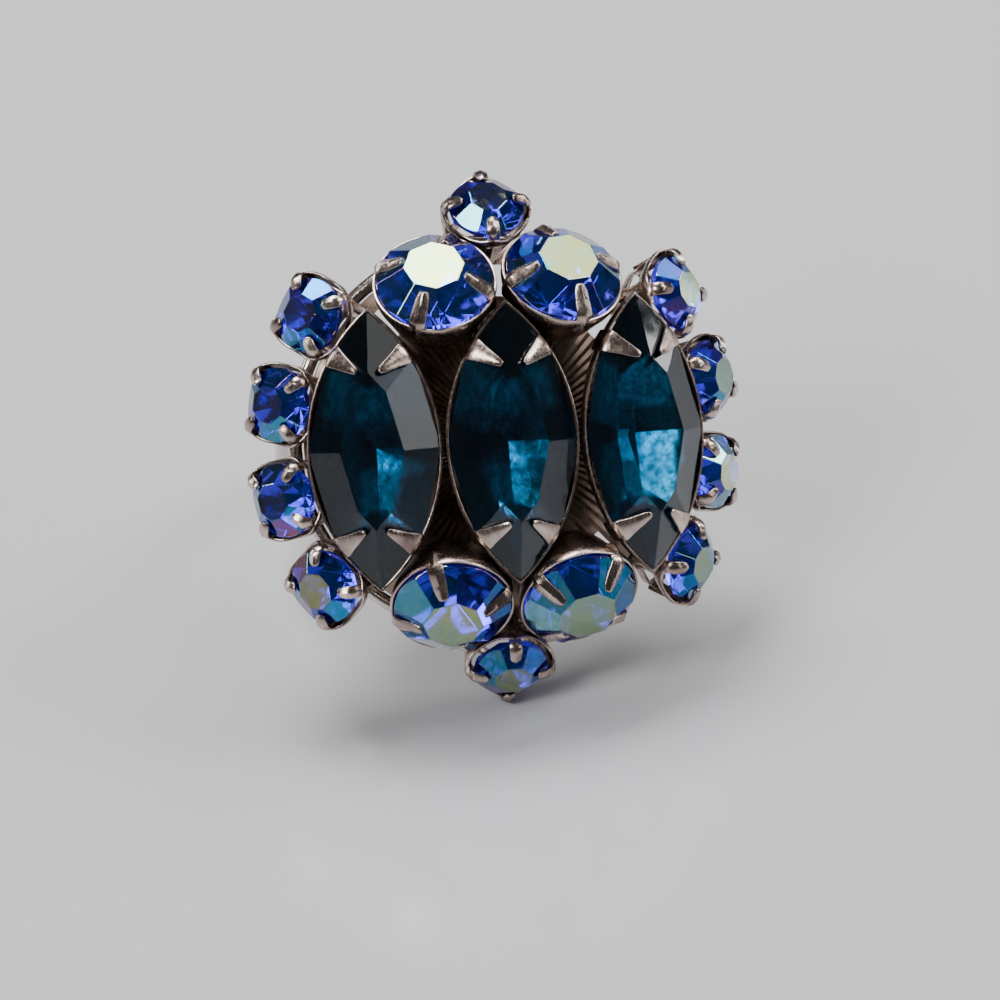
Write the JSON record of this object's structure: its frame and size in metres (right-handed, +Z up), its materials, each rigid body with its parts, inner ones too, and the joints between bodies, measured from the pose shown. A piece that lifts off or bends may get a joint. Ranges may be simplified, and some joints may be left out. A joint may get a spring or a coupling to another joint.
{
  "type": "cocktail ring",
  "caption": "Cocktail ring: a cluster of teal boat-shaped and iridescent blue round glass stones in claw settings on a domed openwork head and a plain flat band.",
  "frame": {"origin": "on the table under the middle of the ring's box, as the ring lies on its band and its front claw", "axes": "+Z up from the table, -Y the way the jewelled head faces, +X to the right when looking at the head; the finger's bore runs along (0.106, 0.531, 0.841) through (-0.76, 4.80, 6.78) mm, and the head faces (0.067, -0.847, 0.527)"},
  "size_m": [0.028, 0.0284, 0.0253],
  "materials": {
    "band_metal": "polished silver-tone plating over base metal, finely scratched",
    "setting_metal": "silver-tone plating over base metal, tarnished brown in the recesses",
    "sapphire_glass": "faceted foil-backed sapphire glass with an iridescent coat on the crown",
    "teal_glass": "faceted foil-backed dark teal glass"
  },
  "bodies": {
    "root": {"shank": "band_metal", "riser": "band_metal", "base_plate": "setting_metal", "edge_wire": "setting_metal", "navette_stone_left": "teal_glass", "navette_setting_left": "setting_metal", "navette_stone_middle": "teal_glass", "navette_setting_middle": "setting_metal", "navette_stone_right": "teal_glass", "navette_setting_right": "setting_metal", "large_stone_upper_left": "sapphire_glass", "large_setting_upper_left": "setting_metal", "large_stone_upper_right": "sapphire_glass", "large_setting_upper_right": "setting_metal", "large_stone_lower_left": "sapphire_glass", "large_setting_lower_left": "setting_metal", "large_stone_lower_right": "sapphire_glass", "large_setting_lower_right": "setting_metal", "small_stone_top": "sapphire_glass", "small_setting_top": "setting_metal", "small_stone_bottom": "sapphire_glass", "small_setting_bottom": "setting_metal", "small_stone_left_1": "sapphire_glass", "small_setting_left_1": "setting_metal", "small_stone_left_2": "sapphire_glass", "small_setting_left_2": "setting_metal", "small_stone_left_3": "sapphire_glass", "small_setting_left_3": "setting_metal", "small_stone_left_4": "sapphire_glass", "small_setting_left_4": "setting_metal", "small_stone_right_1": "sapphire_glass", "small_setting_right_1": "setting_metal", "small_stone_right_2": "sapphire_glass", "small_setting_right_2": "setting_metal", "small_stone_right_3": "sapphire_glass", "small_setting_right_3": "setting_metal", "small_stone_right_4": "sapphire_glass", "small_setting_right_4": "setting_metal"}
  },
  "joints": []
}
